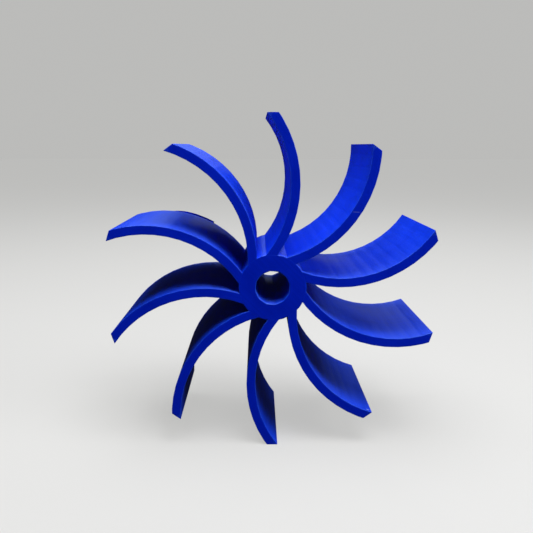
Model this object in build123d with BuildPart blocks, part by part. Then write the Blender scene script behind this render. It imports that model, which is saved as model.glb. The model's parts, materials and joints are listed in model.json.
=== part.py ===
"""Ten-bladed rotor of a small vertical axis turbine, standing on edge as a wheel does.

A plain round hub carries curved blades that are all as long as the hub. The spin axis is Y, and
the origin is on it, halfway along the hub. Sizes are in millimetres.
"""
from build123d import *
import math
import os

# Hub
rotor_diameter = 150.0
rotor_length = 60.0
hub_diameter = 30.0
bore_diameter = 15.0

# Blades
blade_count = 10
blade_thickness = 4.0
blade_arc_radius = 51.0  # of the line halfway through the blade's thickness

rotor_radius = rotor_diameter / 2
hub_radius = hub_diameter / 2
blade_pitch = 360 / blade_count

# Every blade is a round arc whose two ends lie on one radius of the rotor: the inner end on the
# hub and the outer end on the tip circle. So the arc's centre is level with the chord's middle.
half_chord = (rotor_radius - hub_radius) / 2
arc_centre_height = hub_radius + half_chord
arc_centre_offset = math.sqrt(blade_arc_radius**2 - half_chord**2)
arc_centre = (-arc_centre_offset, arc_centre_height)


def blade_plane(turn):
    """The cross-section's plane, with its upward direction turned clockwise by turn degrees."""
    angle = math.radians(turn)
    return Plane(origin=(0, 0, 0), x_dir=(math.cos(angle), 0, -math.sin(angle)), z_dir=(0, -1, 0))


os.makedirs("parts", exist_ok=True)

# The hub is a straight round boss, bored right through for the turbine's shaft.
with BuildPart() as hub:
    with BuildSketch(Plane.XZ):
        Circle(hub_radius)
        Circle(bore_diameter / 2, mode=Mode.SUBTRACT)
    extrude(amount=rotor_length / 2, both=True)
hub.part.label = "hub"
export_step(hub.part, "parts/hub.step")

# Each blade is part of a ring, cut off by the tip circle at its outer end and by the hub's own
# surface at its root. The ring crosses that band twice, and the blade is the crossing on the
# clockwise side of the line from the rotor's axis through the ring's centre.
blade_side = Plane(
    origin=(0, 0, 0),
    x_dir=(arc_centre[0], arc_centre[1], 0),
    z_dir=(arc_centre[1], -arc_centre[0], 0),
)

for number in range(blade_count):
    with BuildPart() as blade:
        with BuildSketch(blade_plane(number * blade_pitch)):
            with Locations(arc_centre):
                Circle(blade_arc_radius + blade_thickness / 2)
                Circle(blade_arc_radius - blade_thickness / 2, mode=Mode.SUBTRACT)
            Circle(rotor_radius, mode=Mode.INTERSECT)
            Circle(hub_radius, mode=Mode.SUBTRACT)
            split(bisect_by=blade_side, keep=Keep.TOP)
        extrude(amount=rotor_length / 2, both=True)
    name = f"blade_{number + 1:02d}"
    blade.part.label = name
    export_step(blade.part, f"parts/{name}.step")
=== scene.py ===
"""Looks of a ten-bladed rotor for a small vertical axis turbine, printed in one blue plastic.

The rotor stands on edge on a pale table. The spin axis is Y, and the front of the rotor looks
towards -Y. Lengths are in metres.
"""
import bmesh
import bpy
import json
import math
from mathutils import Matrix, Vector, noise


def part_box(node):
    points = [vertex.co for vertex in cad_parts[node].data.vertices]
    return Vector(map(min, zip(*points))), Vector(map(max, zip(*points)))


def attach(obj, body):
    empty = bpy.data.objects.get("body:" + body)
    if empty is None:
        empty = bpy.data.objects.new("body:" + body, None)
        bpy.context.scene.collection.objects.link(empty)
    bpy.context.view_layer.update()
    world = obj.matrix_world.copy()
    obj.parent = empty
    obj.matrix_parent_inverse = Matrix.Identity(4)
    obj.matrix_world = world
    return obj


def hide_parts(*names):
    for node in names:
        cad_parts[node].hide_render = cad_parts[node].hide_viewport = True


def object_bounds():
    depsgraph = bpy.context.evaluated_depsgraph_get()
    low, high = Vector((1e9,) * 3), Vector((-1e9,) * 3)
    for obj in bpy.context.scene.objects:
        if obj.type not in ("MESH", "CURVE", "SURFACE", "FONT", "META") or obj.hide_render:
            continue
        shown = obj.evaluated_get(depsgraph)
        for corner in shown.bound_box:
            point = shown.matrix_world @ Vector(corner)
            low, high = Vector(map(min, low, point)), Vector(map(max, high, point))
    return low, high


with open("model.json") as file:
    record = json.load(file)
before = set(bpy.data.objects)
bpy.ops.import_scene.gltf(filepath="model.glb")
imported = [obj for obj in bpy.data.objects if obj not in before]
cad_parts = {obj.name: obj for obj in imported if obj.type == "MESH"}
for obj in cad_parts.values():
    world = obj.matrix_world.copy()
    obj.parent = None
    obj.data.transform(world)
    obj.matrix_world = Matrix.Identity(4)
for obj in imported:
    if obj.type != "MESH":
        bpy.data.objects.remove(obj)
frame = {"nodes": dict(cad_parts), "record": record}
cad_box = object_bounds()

MM = 0.001

# The rotor, as the frame has it
hub_low, hub_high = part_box("hub")
front, back = hub_low[1], hub_high[1]
rotor_length = back - front
hub_radius = hub_high[0]
rotor_radius = cad_box[1][2]
bore = next(mount for mount in frame["record"]["mounts"] if mount["name"] == "bore")
bore_radius = bore["dims"]["r_mm"] * MM
spin_axis = (0, 1, 0)
blade_nodes = sorted(node for node in frame["nodes"] if node.startswith("blade"))
blade_pitch = math.tau / len(blade_nodes)

# A blade is a round arc from the hub to the tip circle
blade_thickness = 4 * MM
blade_arc_radius = 51 * MM
half_chord = (rotor_radius - hub_radius) / 2
arc_centre = Vector((-math.sqrt(blade_arc_radius**2 - half_chord**2), 0, hub_radius + half_chord))
concave_radius = blade_arc_radius - blade_thickness / 2
root_angle = -math.asin(half_chord / blade_arc_radius)

# The printed walls are flat facets, with their corners on the round shape
blade_facet = math.radians(6.37)
hub_facet = math.tau / 30
bore_facet = math.tau / 12
bore_facet_turn = math.radians(9)
blade_flatness = 0.85
hub_flatness = 0.85
bore_flatness = 0.65

# How finely the meshes are cut
columns_per_facet = 10
columns_across_blade = 10
columns_across_hub_wall = 12
columns_round_hub = 240
columns_along_brim = 36
columns_across_brim = 3
rows_along_axis = 12
merge_distance = 0.005 * MM
seat_allowance = 0.1 * MM
corner_angle = math.radians(40)
sharp_angle = math.radians(50)
flat_end = 0.9999

# What the nozzle leaves
edge_rounding = 0.32 * MM
rounding_steps = 3
seat_radius = hub_radius - edge_rounding
ripple_depth = 0.034 * MM
ripple_length = 1.9 * MM
ripple_drift = 125 * MM
ripple_seed_step = 7.3
plain_tip = 2 * MM
layer_height = 0.3 * MM
line_width = 0.45 * MM
outline_lines = 3.0

# A strip of the brim that stayed on one blade's back end, along its outer curve. Its two ends are
# measured along the blade from the root.
brim_blade = blade_nodes.index("blade_09")
brim_from = 22.3 * MM
brim_to = 43 * MM
brim_width = 0.75 * MM
brim_hold = 0.3 * MM
brim_height = 0.4 * MM
brim_taper = 0.35

# Blues of the plastic, and the cool tint of its gloss
wall_shade = (0.0003, 0.033, 0.67)
wall_light = (0.0005, 0.047, 0.87)
end_shade = (0.0002, 0.0165, 0.67)
end_light = (0.0003, 0.0215, 0.81)
# The pale blue of the painted highlight along the rounded edges
highlight_blue = (0.05, 0.18, 0.95)
cool_gloss = (0.6, 0.95, 1, 1)
# Pale colour of the scratch, and of the painted glint beside a tip
scratch_and_glint_colour = (0.22, 0.3, 0.85)

# The walls: how strong and how stretched their gloss is, and what each pattern adds
wall_gloss = 0.8
wall_stretch = 0.8
quarter_turn = 0.25
wall_roughness = (0.38, 0.46)
wall_tones = (0.3, 0.7)
streak_width = 1 * MM
streak_wander = 0.06
streak_share = 0.5
layer_share = 0.15
wall_cloud_share = 0.35
layer_relief = 0.008 * MM
streak_relief = 0.03 * MM
# How strongly the painted edge highlight shows on the walls, and how much smoother the gloss is
# under it
wall_edge_highlight = 0.55
edge_highlight_roughness = 0.05

# The end faces, in the same way
end_gloss = 0.2
end_roughness = (0.32, 0.4)
end_tones = (0.25, 0.75)
line_share = 0.2
end_cloud_share = 0.8
line_relief = 0.003 * MM
# How strongly the painted edge highlight shows on the end faces
end_edge_highlight = 0.25

# What walls and end faces share
cloud_size = 14 * MM
grain_size = 0.5 * MM
grain_relief = 0.002 * MM
# How wide and how patchy the painted edge highlight is
edge_highlight_width = 0.6 * MM
edge_highlight_patches_per_metre = 260.0

# Two small marks: a scratch on a blade's front end, and a painted glint on a wall beside a tip
scratch_place = Vector((35.9 * MM, front, 33.4 * MM))
scratch_turn = (0, math.radians(3), 0)
scratch_half_length = 1.9 * MM
scratch_half_width = 0.22 * MM
scratch_strength = 0.45
scratch_depth = 0.02 * MM
# Where the painted glint sits: on a wall at a tip's corner, a little behind the front
glint_place = Vector((44.4, -28.1, -58.6)) * MM
glint_turn = (math.radians(90), 0, 0)
glint_half_length = 0.8 * MM
glint_half_width = 0.45 * MM
mark_reach = 1 * MM

# The table and the room, and the camera, with its lens and sensor in millimetres
pale_grey = (0.5, 0.5, 0.49)
table_grey = (0.2, 0.2, 0.2)
table_roughness = 0.9
table_half_width = 6
room_glow = 0.025
camera_place = (-0.0065, -0.2810, 0.0612)
camera_degrees = (78.387, -0.0865, -0.852)
camera_lens = 39.65
camera_sensor = 36


def reach_of(place):
    """How far a point is from the spin axis."""
    return math.hypot(place.x, place.z)


def facetted(radius, angle, facet, flatness):
    """The radius of a facetted round at this angle, where its corners are on this radius.

    With a flatness of 0 it is a true round, and with 1 its facets are truly flat.
    """
    from_middle = angle % facet - facet / 2
    flat = radius * math.cos(facet / 2) / math.cos(from_middle)
    return radius + flatness * (flat - radius)


def blade_radius(across, angle):
    """How far the blade is from its arc's centre: across is 0 on the inner curve, 1 on the outer."""
    return facetted(concave_radius + across * blade_thickness, angle, blade_facet, blade_flatness)


def blade_end(across, reach, side):
    """The angle round the arc's centre where the blade is this far from the spin axis."""
    to_axis = arc_centre.length
    to_axis_angle = math.atan2(-arc_centre.z, -arc_centre.x)
    angle = side * abs(root_angle)
    # The facets make the radius depend on the angle, which three rounds settle
    for _ in range(3):
        radius = blade_radius(across, angle)
        cosine = (to_axis**2 + radius**2 - reach**2) / (2 * to_axis * radius)
        angle = to_axis_angle + math.acos(cosine)
    return angle


def place_on_blade(angle, across):
    radius = blade_radius(across, angle)
    return arc_centre + Vector((radius * math.cos(angle), front, radius * math.sin(angle)))


def measure_on_blade(place):
    """How far along and across the blade a point is, with its facets evened out."""
    angle = math.atan2(place.z - arc_centre.z, place.x - arc_centre.x)
    radius = math.hypot(place.x - arc_centre.x, place.z - arc_centre.z)
    across = radius / blade_radius(0, angle) * concave_radius - concave_radius
    return (angle - root_angle) * blade_arc_radius, across


def ripple(along, y, seed):
    """Between -1 and 1: the shallow waves that a wall gets from the shaking of the nozzle."""
    return noise.noise(Vector((along / ripple_length, y / ripple_drift, ripple_seed_step * seed)))


def round_off(solid, corners, kind):
    """Rounds off edges, or the corners of an outline."""
    bmesh.ops.bevel(
        solid,
        geom=corners,
        affect=kind,
        offset=edge_rounding,
        offset_type="OFFSET",
        segments=rounding_steps,
        profile=0.5,
        material=-1,
        clamp_overlap=True,
    )


def thicken(solid, thickness):
    """Makes a solid of a flat sheet of faces, which grows towards the back."""
    made = bmesh.ops.extrude_face_region(solid, geom=solid.faces[:])
    moved = [item for item in made["geom"] if isinstance(item, bmesh.types.BMVert)]
    bmesh.ops.translate(solid, verts=moved, vec=(0, thickness, 0))
    bmesh.ops.recalc_face_normals(solid, faces=solid.faces[:])


def cut_rows(solid):
    """Cuts the long walls into rows, so that they can carry a slow change along the axis."""
    long_edges = [edge for edge in solid.edges if edge.calc_length() > rotor_length / 2]
    bmesh.ops.subdivide_edges(solid, edges=long_edges, cuts=rows_along_axis - 1, use_grid_fill=True)


def start_measures(solid):
    """Two numbers for the materials: how far along the wall, and how far in from the outline."""
    return solid.verts.layers.float.new("along"), solid.verts.layers.float.new("inset")


def turn_to_blade(solid, number):
    turn = Matrix.Rotation(number * blade_pitch, 4, "Y")
    bmesh.ops.transform(solid, matrix=turn, verts=solid.verts[:])


def finish_piece(name, solid, node=None):
    """Makes an object of the solid, with wall plastic round it and end plastic on its two ends."""
    for edge in solid.edges:
        edge.smooth = edge.calc_face_angle(0) < sharp_angle
    for face in solid.faces:
        face.smooth = True
        face.material_index = int(abs(face.normal.y) > flat_end)
    mesh = bpy.data.meshes.new(name)
    solid.to_mesh(mesh)
    solid.free()
    for plastic in plastics:
        mesh.materials.append(plastic)
    piece = bpy.data.objects.new(name, mesh)
    bpy.context.collection.objects.link(piece)
    shading = piece.modifiers.new("even shading", "WEIGHTED_NORMAL")
    shading.mode = "FACE_AREA"
    shading.weight = 50
    shading.keep_sharp = True
    if node:
        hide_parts(node)
    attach(piece, "root")


def blade_solid():
    """A blade that points up, with its edges rounded everywhere but at its seat in the hub."""
    solid = bmesh.new()
    # Most columns keep in step with the facets. The first one follows the seat and the last one
    # the tip circle, and each has two or three steps of its own to do so.
    step = blade_facet / columns_per_facet
    half_columns = int(abs(root_angle) / step) - 2
    columns = 2 * half_columns + 2
    bmesh.ops.create_grid(solid, x_segments=columns, y_segments=columns_across_blade, size=0.5)
    for vert in solid.verts:
        column = round((vert.co.x + 0.5) * columns)
        across = vert.co.y + 0.5
        angle = (column - half_columns - 1) * step
        if column == 0:
            angle = blade_end(across, seat_radius, -1)
        if column == columns:
            angle = blade_end(across, rotor_radius, 1)
        vert.co = place_on_blade(angle, across)
    thicken(solid, rotor_length)
    seat_reach = seat_radius + seat_allowance
    to_round = []
    for edge in solid.edges:
        is_corner = edge.calc_face_angle(0) > corner_angle
        at_seat = all(reach_of(vert.co) < seat_reach for vert in edge.verts)
        if is_corner and not at_seat:
            to_round.append(edge)
    round_off(solid, to_round, "EDGES")
    bmesh.ops.remove_doubles(solid, verts=solid.verts[:], dist=merge_distance)
    return solid


def make_blade(number, node):
    solid = blade_solid()
    cut_rows(solid)
    along_layer, inset_layer = start_measures(solid)
    tip_along = measure_on_blade(Vector((0, 0, rotor_radius)))[0]
    for vert in solid.verts:
        along, across = measure_on_blade(vert.co)
        vert[along_layer] = along + number
        vert[inset_layer] = min(across, blade_thickness - across, tip_along - along)
        share = across / blade_thickness
        wave = (1 - share) * ripple(along, vert.co.y, 2 * number)
        wave += share * ripple(along, vert.co.y, 2 * number + 1)
        outwards = (vert.co - arc_centre) * Vector((1, 0, 1))
        if along < tip_along - plain_tip:
            vert.co += outwards.normalized() * wave * ripple_depth
    turn_to_blade(solid, number)
    finish_piece(f"printed_{node}", solid, node)


def make_hub():
    """The boss: its wall's outline, with rounded corners, spun round the axis."""
    solid = bmesh.new()
    bmesh.ops.create_grid(solid, x_segments=columns_across_hub_wall, y_segments=1, size=0.5)
    wall = hub_radius - bore_radius
    for vert in solid.verts:
        vert.co = Vector((bore_radius + (vert.co.x + 0.5) * wall, vert.co.y * rotor_length, 0))
    round_off(solid, [vert for vert in solid.verts if len(vert.link_edges) == 2], "VERTICES")
    inside = [edge for edge in solid.edges if not edge.is_boundary]
    bmesh.ops.delete(solid, geom=solid.faces[:] + inside, context="EDGES_FACES")
    bmesh.ops.spin(
        solid,
        geom=solid.verts[:] + solid.edges[:],
        cent=(0, 0, 0),
        axis=spin_axis,
        angle=math.tau,
        steps=columns_round_hub,
        use_merge=True,
    )
    bmesh.ops.recalc_face_normals(solid, faces=solid.faces[:])
    cut_rows(solid)
    along_layer, inset_layer = start_measures(solid)
    for vert in solid.verts:
        reach = reach_of(vert.co)
        angle = math.atan2(vert.co.z, vert.co.x)
        vert[along_layer] = angle * reach
        vert[inset_layer] = reach - bore_radius
        share = (reach - bore_radius) / wall
        flat = share * facetted(1, angle, hub_facet, hub_flatness)
        turned = angle - bore_facet_turn
        flat += (1 - share) * facetted(1, turned, bore_facet, bore_flatness)
        vert.co.x *= flat
        vert.co.z *= flat
    finish_piece("printed_hub", solid, "hub")


def make_brim_leftover():
    """A thin strip on the back end of a blade, square at one end and tapered at the other."""
    solid = bmesh.new()
    bmesh.ops.create_grid(
        solid, x_segments=columns_along_brim, y_segments=columns_across_brim, size=0.5
    )
    for vert in solid.verts:
        share = vert.co.x + 0.5
        angle = root_angle + (brim_from + share * (brim_to - brim_from)) / blade_arc_radius
        width = brim_width * math.sqrt(min(1, (1 - share) / brim_taper))
        radius = blade_radius(1, angle) - brim_hold + (vert.co.y + 0.5) * (width + brim_hold)
        vert.co = Vector((radius * math.cos(angle), back - brim_height, radius * math.sin(angle)))
        vert.co += arc_centre
    thicken(solid, brim_height)
    along_layer, inset_layer = start_measures(solid)
    for vert in solid.verts:
        along, across = measure_on_blade(vert.co)
        vert[along_layer] = along
        vert[inset_layer] = abs(blade_thickness + brim_width - across)
    turn_to_blade(solid, brim_blade)
    finish_piece("brim_leftover", solid)


def set_inputs(tree, node, inputs):
    """Sets inputs, named or counted, to numbers, colours or other nodes' outputs."""
    for socket, value in inputs.items():
        if isinstance(value, bpy.types.NodeSocket):
            tree.links.new(value, node.inputs[socket])
        else:
            node.inputs[socket].default_value = value


def add_node(tree, kind, inputs, **settings):
    node = tree.nodes.new(kind)
    for setting, value in settings.items():
        setattr(node, setting, value)
    set_inputs(tree, node, inputs)
    return node


def reckon(tree, operation, *values):
    """What a Math node makes of one to three numbers or outputs."""
    return add_node(tree, "ShaderNodeMath", dict(enumerate(values)), operation=operation).outputs[0]


def weighed(tree, *parts):
    """The sum of outputs, each times its weight."""
    total = 0.0
    for output, weight in parts:
        total = reckon(tree, "MULTIPLY_ADD", output, weight, total)
    return total


def fade(tree, value, start, end, low=0.0, high=1.0):
    """A soft step: low where the value is at start, high where it is at end."""
    inputs = {"Value": value, "From Min": start, "From Max": end, "To Min": low, "To Max": high}
    step = add_node(tree, "ShaderNodeMapRange", inputs, interpolation_type="SMOOTHSTEP")
    return step.outputs["Result"]


def place_on_object(tree):
    return tree.nodes.new("ShaderNodeTexCoord").outputs["Object"]


def axes_of(tree, vector):
    return add_node(tree, "ShaderNodeSeparateXYZ", {"Vector": vector}).outputs


def attribute(tree, name):
    return add_node(tree, "ShaderNodeAttribute", {}, attribute_name=name).outputs["Fac"]


def own_tone(tree, number):
    """A random tone for each whole number, always the same one."""
    tone = add_node(tree, "ShaderNodeTexWhiteNoise", {"W": number}, noise_dimensions="1D")
    return tone.outputs["Value"]


def blend_colours(tree, share, first, second):
    mixer = add_node(tree, "ShaderNodeMix", {"Factor": share}, data_type="RGBA")
    for socket, colour in (("A_Color", first), ("B_Color", second)):
        target = next(item for item in mixer.inputs if item.identifier == socket)
        if isinstance(colour, bpy.types.NodeSocket):
            tree.links.new(colour, target)
        else:
            target.default_value = (*colour, 1)
    return next(item for item in mixer.outputs if item.identifier == "Result_Color")


def start_group(name, inputs, outputs):
    """An empty node group: inputs with their usual values, and outputs that are numbers."""
    group = bpy.data.node_groups.new(name, "ShaderNodeTree")
    for label, value in inputs.items():
        kind = "NodeSocketFloat" if isinstance(value, float) else "NodeSocketVector"
        socket = group.interface.new_socket(label, in_out="INPUT", socket_type=kind)
        socket.default_value = value
    for label in outputs:
        group.interface.new_socket(label, in_out="OUTPUT", socket_type="NodeSocketFloat")
    given = group.nodes.new("NodeGroupInput").outputs
    result = group.nodes.new("NodeGroupOutput").inputs
    return group, given, result


def use_group(tree, group, inputs):
    node = tree.nodes.new("ShaderNodeGroup")
    node.node_tree = group
    set_inputs(tree, node, inputs)
    return node.outputs


def printed_layers_group():
    """Rounded layers one on another along the spin axis, each with a tone of its own."""
    inputs = {"Layer height": layer_height}
    group, given, result = start_group("printed layers", inputs, ["Height", "Tone"])
    y = axes_of(group, place_on_object(group))["Y"]
    layer = reckon(group, "DIVIDE", y, given["Layer height"])
    wave = reckon(group, "SINE", reckon(group, "MULTIPLY", layer, math.tau))
    group.links.new(reckon(group, "MULTIPLY_ADD", wave, 0.5, 0.5), result["Height"])
    group.links.new(own_tone(group, reckon(group, "FLOOR", layer)), result["Tone"])
    return group


def wall_streaks_group():
    """Streaks that run straight along the spin axis, where every layer shook in the same place."""
    inputs = {"Streak width": streak_width, "Wander": streak_wander}
    group, given, result = start_group("wall streaks", inputs, ["Height", "Tone"])
    y = axes_of(group, place_on_object(group))["Y"]
    across_streaks = reckon(group, "DIVIDE", attribute(group, "along"), given["Streak width"])
    along_axis = reckon(group, "DIVIDE", y, given["Streak width"])
    slow = reckon(group, "MULTIPLY", along_axis, given["Wander"])
    place = add_node(group, "ShaderNodeCombineXYZ", {"X": across_streaks, "Y": slow}).outputs[0]
    # The two patterns are far apart in the same noise, so that they don't go together
    for label, detail, apart in (("Height", 1.0, 0.0), ("Tone", 3.0, 57.0)):
        pattern = {"Vector": place, "W": apart, "Scale": 1.0, "Detail": detail, "Roughness": 0.6}
        streaks = add_node(group, "ShaderNodeTexNoise", pattern, noise_dimensions="4D")
        group.links.new(streaks.outputs["Fac"], result[label])
    return group


def laid_lines_group():
    """The lines of an end face: a few along its outline, and a slanting fill inside them."""
    inputs = {"Line width": line_width, "Outline lines": outline_lines}
    group, given, result = start_group("laid lines", inputs, ["Height", "Tone"])
    place = axes_of(group, place_on_object(group))
    inset = reckon(group, "DIVIDE", attribute(group, "inset"), given["Line width"])
    slant = reckon(group, "MULTIPLY", reckon(group, "ADD", place["X"], place["Z"]), math.sqrt(0.5))
    fill = reckon(group, "DIVIDE", slant, given["Line width"])
    inside = reckon(group, "GREATER_THAN", inset, given["Outline lines"])
    change = reckon(group, "MULTIPLY", reckon(group, "SUBTRACT", fill, inset), inside)
    line = reckon(group, "ADD", inset, change)
    wave = reckon(group, "COSINE", reckon(group, "MULTIPLY", line, math.tau))
    group.links.new(reckon(group, "MULTIPLY_ADD", wave, -0.5, 0.5), result["Height"])
    # The fill's lines are numbered from 31, so that they have other tones than the outline's
    first_number = reckon(group, "MULTIPLY", inside, 31.0)
    number = reckon(group, "ADD", reckon(group, "FLOOR", line), first_number)
    group.links.new(own_tone(group, number), result["Tone"])
    return group


def cloudy_tone_group():
    """Slow drifts of tone over the whole rotor, and a fine grain."""
    inputs = {"Cloud size": cloud_size, "Grain size": grain_size}
    group, given, result = start_group("cloudy tone", inputs, ["Clouds", "Grain"])
    for label, size, detail in (("Clouds", "Cloud size", 3.0), ("Grain", "Grain size", 1.0)):
        scale = reckon(group, "DIVIDE", 1.0, given[size])
        pattern = {"Vector": place_on_object(group), "Scale": scale, "Detail": detail}
        tones = add_node(group, "ShaderNodeTexNoise", pattern, noise_dimensions="3D")
        group.links.new(tones.outputs["Fac"], result[label])
    return group


def edge_highlight_group():
    """A painted highlight: pale patches along the rounded edges round each end face, where the edges
    would catch the light.
    """
    inputs = {"Edge width": edge_highlight_width, "Half length": rotor_length / 2}
    group, given, result = start_group("painted edge highlight", inputs, ["Worn"])
    y = axes_of(group, place_on_object(group))["Y"]
    to_end = reckon(group, "SUBTRACT", given["Half length"], reckon(group, "ABSOLUTE", y))
    to_edge = reckon(group, "MAXIMUM", to_end, attribute(group, "inset"))
    near = reckon(group, "SUBTRACT", 1.0, reckon(group, "DIVIDE", to_edge, given["Edge width"]))
    pattern = {"Vector": place_on_object(group), "Scale": edge_highlight_patches_per_metre, "Detail": 3.0}
    patches = add_node(group, "ShaderNodeTexNoise", pattern, noise_dimensions="3D")
    # The painted highlight comes and goes in patches
    highlighted = fade(group, patches.outputs["Fac"], start=0.35, end=0.7, low=0.25)
    highlight = reckon(group, "MULTIPLY", reckon(group, "MAXIMUM", near, 0.0), highlighted)
    group.links.new(highlight, result["Worn"])
    return group


def short_mark_group():
    """A thin mark that tapers to nothing at both ends."""
    inputs = {"Place": (0.0, 0.0, 0.0), "Half length": 2 * MM, "Half width": 0.2 * MM}
    group, given, result = start_group("short mark", inputs, ["Mark"])
    place = axes_of(group, given["Place"])
    length = reckon(group, "DIVIDE", reckon(group, "ABSOLUTE", place["X"]), given["Half length"])
    width = reckon(group, "DIVIDE", reckon(group, "ABSOLUTE", place["Z"]), given["Half width"])
    on_this_wall = reckon(group, "LESS_THAN", reckon(group, "ABSOLUTE", place["Y"]), mark_reach)
    inside = reckon(group, "SUBTRACT", 1.0, reckon(group, "MAXIMUM", length, width))
    soft = fade(group, inside, start=0.0, end=0.6)
    group.links.new(reckon(group, "MULTIPLY", soft, on_this_wall), result["Mark"])
    return group


def mark_on(tree, centre, turn, half_length, half_width):
    """A short mark round a point, turned from lying along X in the plane of X and Z."""
    inputs = {"Vector": place_on_object(tree), "Location": centre, "Rotation": turn}
    placed = add_node(tree, "ShaderNodeMapping", inputs, vector_type="TEXTURE").outputs["Vector"]
    inputs = {"Place": placed, "Half length": half_length, "Half width": half_width}
    return use_group(tree, short_mark, inputs)["Mark"]


def start_plastic(name):
    """A new material, whose gloss has the plastic's cool tint."""
    material = bpy.data.materials.new(name)
    material.use_nodes = True
    shader = material.node_tree.nodes["Principled BSDF"]
    shader.inputs["Specular Tint"].default_value = cool_gloss
    return material, material.node_tree, shader


def raise_surface(tree, shader, height):
    """Lets the slopes of a height in metres tilt the gloss."""
    bump = add_node(tree, "ShaderNodeBump", {"Strength": 1.0, "Distance": 1.0, "Height": height})
    tree.links.new(bump.outputs["Normal"], shader.inputs["Normal"])


def wall_plastic():
    """The walls: layers round the rotor, which spread the gloss along the spin axis."""
    material, tree, shader = start_plastic("printed wall")
    shader.inputs["Specular IOR Level"].default_value = wall_gloss
    shader.inputs["Anisotropic"].default_value = wall_stretch
    shader.inputs["Anisotropic Rotation"].default_value = quarter_turn
    facing = tree.nodes.new("ShaderNodeTexCoord").outputs["Normal"]
    axes = {0: spin_axis, 1: facing}
    along_layers = add_node(tree, "ShaderNodeVectorMath", axes, operation="CROSS_PRODUCT")
    tree.links.new(along_layers.outputs["Vector"], shader.inputs["Tangent"])

    layers = use_group(tree, printed_layers, {"Layer height": layer_height})
    streaks = use_group(tree, wall_streaks, {"Streak width": streak_width})
    cloudy = use_group(tree, cloudy_tone, {})
    highlight = use_group(tree, edge_highlight, {"Half length": rotor_length / 2})["Worn"]
    shade = weighed(
        tree,
        (streaks["Tone"], streak_share),
        (layers["Tone"], layer_share),
        (cloudy["Clouds"], wall_cloud_share),
    )
    plain = blend_colours(tree, fade(tree, shade, *wall_tones), wall_shade, wall_light)
    # Paints the edge highlight into the wall's colour
    highlighted = blend_colours(tree, reckon(tree, "MULTIPLY", highlight, wall_edge_highlight), plain, highlight_blue)
    # A painted glint at a tip's corner
    glint = mark_on(tree, glint_place, glint_turn, glint_half_length, glint_half_width)
    tree.links.new(blend_colours(tree, glint, highlighted, scratch_and_glint_colour), shader.inputs["Base Color"])

    roughness = fade(tree, shade, *wall_tones, *wall_roughness)
    roughness = weighed(tree, (roughness, 1.0), (highlight, edge_highlight_roughness))
    tree.links.new(roughness, shader.inputs["Roughness"])
    height = weighed(
        tree,
        (layers["Height"], layer_relief),
        (streaks["Height"], streak_relief),
        (cloudy["Grain"], grain_relief),
    )
    raise_surface(tree, shader, height)
    return material


def end_plastic():
    """The end faces: lines along the outline, a slanting fill, and a smoother gloss."""
    material, tree, shader = start_plastic("printed end face")
    shader.inputs["Specular IOR Level"].default_value = end_gloss

    lines = use_group(tree, laid_lines, {"Line width": line_width})
    cloudy = use_group(tree, cloudy_tone, {})
    highlight = use_group(tree, edge_highlight, {"Half length": rotor_length / 2})["Worn"]
    shade = weighed(tree, (lines["Tone"], line_share), (cloudy["Clouds"], end_cloud_share))
    plain = blend_colours(tree, fade(tree, shade, *end_tones), end_shade, end_light)
    # Paints the edge highlight into the end face's colour
    highlighted = blend_colours(tree, reckon(tree, "MULTIPLY", highlight, end_edge_highlight), plain, highlight_blue)
    scratch = mark_on(tree, scratch_place, scratch_turn, scratch_half_length, scratch_half_width)
    scratch = reckon(tree, "MULTIPLY", scratch, scratch_strength)
    tree.links.new(blend_colours(tree, scratch, highlighted, scratch_and_glint_colour), shader.inputs["Base Color"])

    roughness = fade(tree, shade, *end_tones, *end_roughness)
    tree.links.new(roughness, shader.inputs["Roughness"])
    height = weighed(
        tree,
        (lines["Height"], line_relief),
        (cloudy["Grain"], grain_relief),
        (scratch, -scratch_depth),
    )
    raise_surface(tree, shader, height)
    return material


def make_table():
    """A pale table that lies under the lowest tip, and throws no light back on the rotor."""
    table_top = bmesh.new()
    bmesh.ops.create_grid(table_top, x_segments=1, y_segments=1, size=table_half_width)
    bmesh.ops.translate(table_top, verts=table_top.verts[:], vec=(0, 0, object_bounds()[0][2]))
    mesh = bpy.data.meshes.new("table")
    table_top.to_mesh(mesh)
    table_top.free()
    table = bpy.data.objects.new("table", mesh)
    bpy.context.collection.objects.link(table)
    material = bpy.data.materials.new("pale table")
    material.use_nodes = True
    shader = material.node_tree.nodes["Principled BSDF"]
    shader.inputs["Base Color"].default_value = (*table_grey, 1)
    shader.inputs["Emission Color"].default_value = (*pale_grey, 1)
    shader.inputs["Emission Strength"].default_value = 1
    shader.inputs["Roughness"].default_value = table_roughness
    mesh.materials.append(material)
    table.visible_diffuse = False
    table.visible_glossy = False


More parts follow.
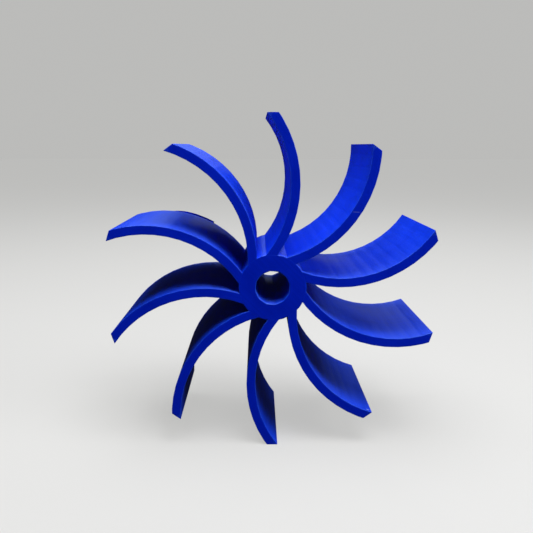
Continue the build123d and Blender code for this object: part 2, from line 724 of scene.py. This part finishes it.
def make_light(name, place, width, depth, power):
    """A softbox that looks at the rotor's middle."""
    lamp = bpy.data.lights.new(name, "AREA")
    lamp.shape = "RECTANGLE"
    lamp.size = width
    lamp.size_y = depth
    lamp.energy = power
    light = bpy.data.objects.new(name, lamp)
    bpy.context.collection.objects.link(light)
    light.location = place
    light.rotation_euler = (-Vector(place)).to_track_quat("-Z", "Y").to_euler()


def make_room():
    """Almost no light of its own; the camera sees it as a pale backdrop."""
    world = bpy.data.worlds.new("room")
    bpy.context.scene.world = world
    world.use_nodes = True
    tree = world.node_tree
    glow = tree.nodes["Background"]
    glow.inputs["Color"].default_value = (1, 1, 1, 1)
    glow.inputs["Strength"].default_value = room_glow
    backdrop = add_node(tree, "ShaderNodeBackground", {"Color": (*pale_grey, 1)})
    path = tree.nodes.new("ShaderNodeLightPath")
    mixed = tree.nodes.new("ShaderNodeMixShader")
    tree.links.new(path.outputs["Is Camera Ray"], mixed.inputs["Fac"])
    tree.links.new(glow.outputs["Background"], mixed.inputs[1])
    tree.links.new(backdrop.outputs["Background"], mixed.inputs[2])
    tree.links.new(mixed.outputs["Shader"], tree.nodes["World Output"].inputs["Surface"])


def make_camera():
    data = bpy.data.cameras.new("camera")
    data.lens = camera_lens
    data.sensor_width = camera_sensor
    camera = bpy.data.objects.new("camera", data)
    bpy.context.collection.objects.link(camera)
    camera.location = camera_place
    camera.rotation_euler = [math.radians(angle) for angle in camera_degrees]
    bpy.context.scene.camera = camera
    bpy.context.scene.view_settings.view_transform = "Standard"


printed_layers = printed_layers_group()
wall_streaks = wall_streaks_group()
laid_lines = laid_lines_group()
cloudy_tone = cloudy_tone_group()
edge_highlight = edge_highlight_group()
short_mark = short_mark_group()
plastics = (wall_plastic(), end_plastic())

make_hub()
for number, node in enumerate(blade_nodes):
    make_blade(number, node)
make_brim_leftover()

make_table()
make_light("overhead softbox", (-0.08, -0.06, 0.8), width=0.7, depth=0.6, power=8)
make_light("front softbox", (0.24, -0.33, 0.74), width=0.4, depth=0.4, power=3.5)
make_light("right softbox", (0.66, -0.21, 0.4), width=0.33, depth=0.33, power=2.35)
make_light("low right softbox", (0.85, 0, 0.18), width=0.3, depth=0.3, power=0.25)
make_light("back softbox", (0.25, 0.54, 0.61), width=0.5, depth=0.35, power=0.75)
make_room()
make_camera()
